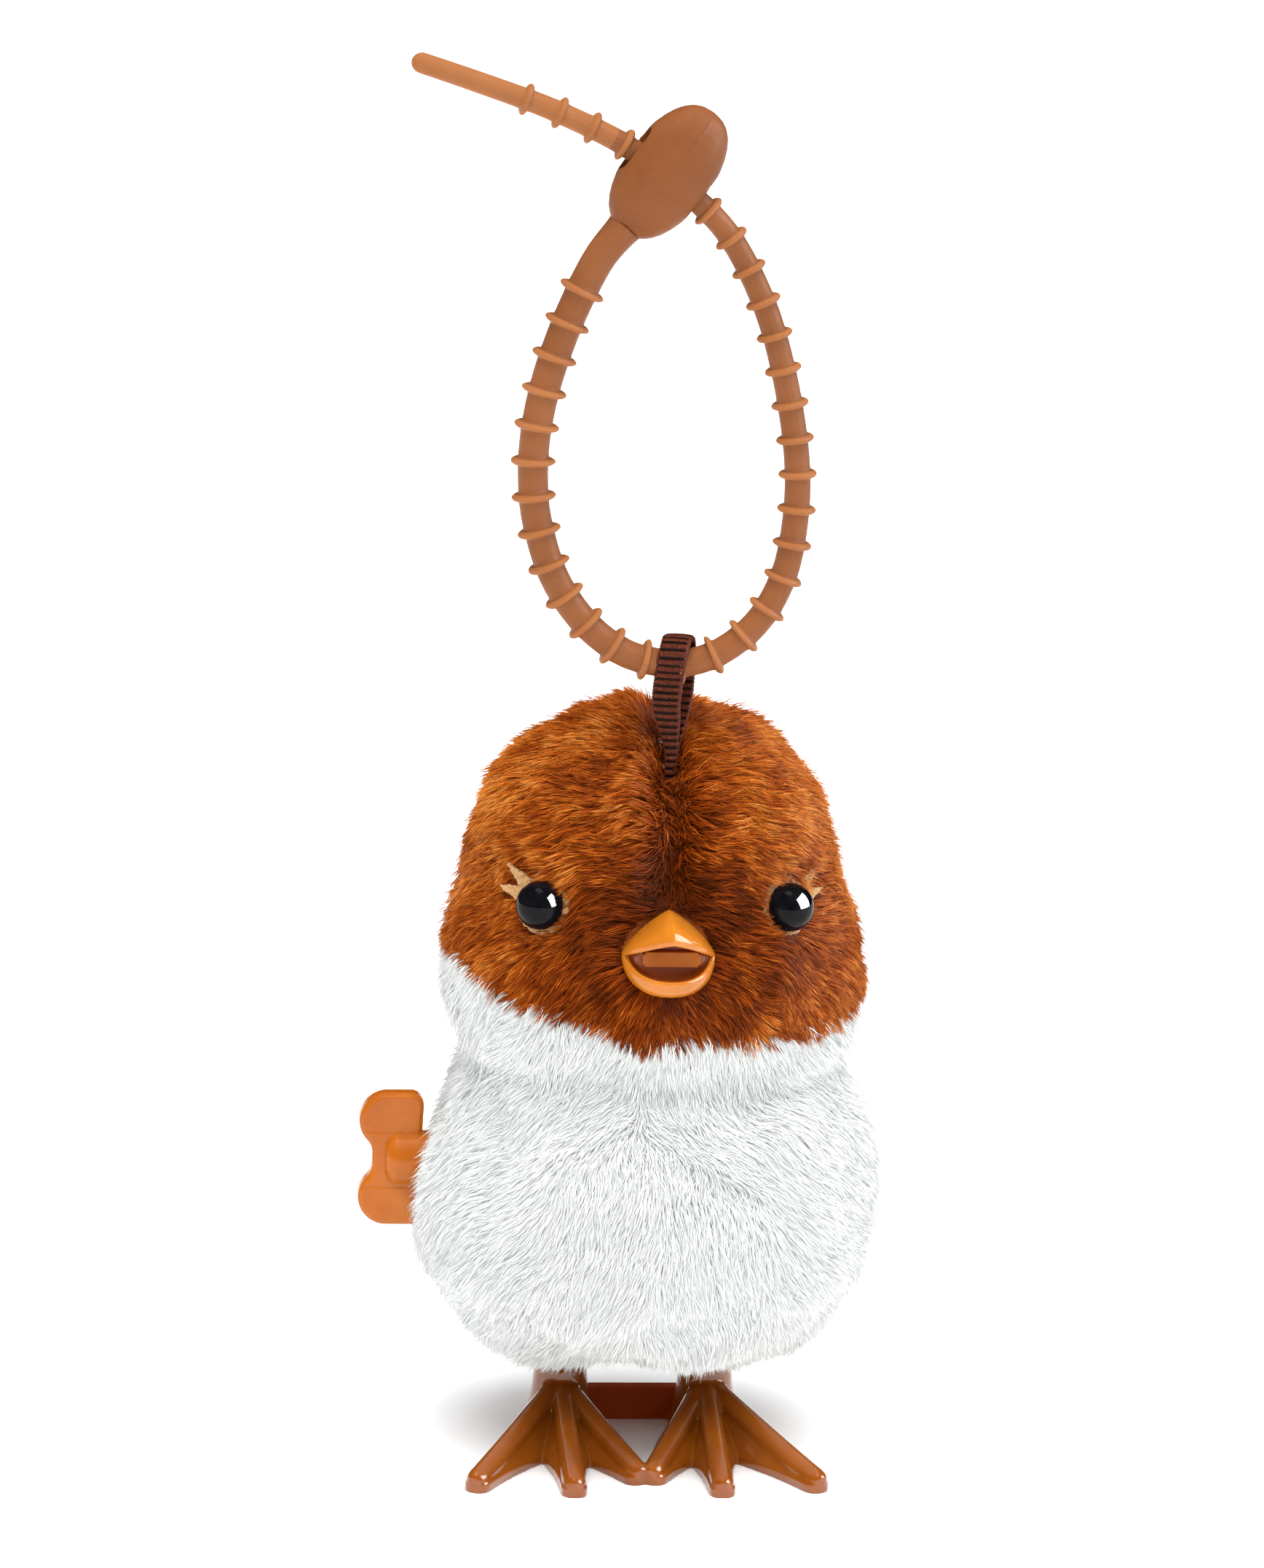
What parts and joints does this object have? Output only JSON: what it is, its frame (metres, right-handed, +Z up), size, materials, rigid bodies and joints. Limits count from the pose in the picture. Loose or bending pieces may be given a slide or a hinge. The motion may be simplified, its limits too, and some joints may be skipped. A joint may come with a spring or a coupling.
{
  "type": "wind-up hopping chick charm",
  "caption": "Plush wind-up hopping chick with clockwork motor, winding key, moulded feet and a ribbed strap loop on a ribbon.",
  "frame": {"origin": "on the floor, midway between the two legs, on their axes' line", "axes": "+Z up; the chick faces -Y; +X is to the right as seen from the front, so the key points along -X"},
  "size_m": [0.0636, 0.0545, 0.1762],
  "materials": {
    "brown_fur": "matte",
    "white_fur": "matte",
    "stuffing": "matte",
    "felt": "matte",
    "ribbon": "satin",
    "amber_plastic": "gloss",
    "caramel_plastic": "gloss",
    "heel_plastic": "gloss",
    "mouth_plastic": "satin",
    "black_plastic": "gloss",
    "washer_plastic": "matte",
    "silicone": "satin",
    "gear_plastic": "satin",
    "case_plastic": "satin",
    "steel": "satin",
    "spring_steel": "satin",
    "brass_leaf": "satin",
    "base_plastic": "satin"
  },
  "bodies": {
    "torso": {"head_plush": "brown_fur", "body_plush": "white_fur", "head_stuffing": "stuffing", "body_stuffing": "stuffing", "beak": "amber_plastic", "beak_tongue": "mouth_plastic", "beak_washer": "washer_plastic", "eye_left": "black_plastic", "eye_right": "black_plastic", "lash_left": "felt", "lash_right": "felt", "eye_washer_left": "washer_plastic", "eye_washer_right": "washer_plastic", "ribbon_root": "ribbon", "mainspring": "spring_steel", "gearbox_left": "case_plastic", "gearbox_right": "case_plastic", "gearbox_screws": "steel", "leg_pivot_pin": "steel", "base_plate": "base_plastic", "base_screws": "steel"},
    "legs": {"leg_frame": "caramel_plastic", "feet": "caramel_plastic", "heel_bar": "heel_plastic"},
    "key": {"winding_key": "amber_plastic", "winding_arbor": "steel", "drive_gear": "gear_plastic", "ratchet_wheel": "spring_steel", "click_spring": "brass_leaf"},
    "second_shaft": {"second_wheel": "gear_plastic", "second_axle": "steel"},
    "crank_shaft": {"crank_wheel": "gear_plastic", "crank_axle": "steel", "crank_left": "gear_plastic", "crank_right": "gear_plastic"},
    "ribbon": {"ribbon_loop": "ribbon"},
    "strap": {"strap": "silicone", "strap_lock": "silicone"}
  },
  "joints": [
    {"name": "key_turn", "type": "hinge", "parent": "torso", "child": "key", "pos_m": [0, 0, 0.036], "axis": [1, 0, 0], "continuous": true},
    {"name": "second_turn", "type": "hinge", "parent": "torso", "child": "second_shaft", "pos_m": [0, -0.00733, 0.02727], "axis": [1, 0, 0], "continuous": true},
    {"name": "crank_turn", "type": "hinge", "parent": "torso", "child": "crank_shaft", "pos_m": [0, 0.0019, 0.02462], "axis": [1, 0, 0], "continuous": true},
    {"name": "leg_rock", "type": "hinge", "parent": "torso", "child": "legs", "pos_m": [0, 0.009, 0.022], "axis": [1, 0, 0], "range_deg": [0, 12]},
    {"name": "ribbon_fold", "type": "hinge", "parent": "torso", "child": "ribbon", "pos_m": [0.001, -0.0124, 0.0915], "axis": [1, 0, 0], "range_deg": [-20, 35]},
    {"name": "strap_swing", "type": "hinge", "parent": "ribbon", "child": "strap", "pos_m": [0.0014, -0.013, 0.102], "axis": [1, 0, 0], "range_deg": [-75, 80]}
  ],
  "couplings": [
    {"joint": "second_turn", "follows": "key_turn", "ratio": -3.75},
    {"joint": "crank_turn", "follows": "key_turn", "ratio": 11.25}
  ]
}
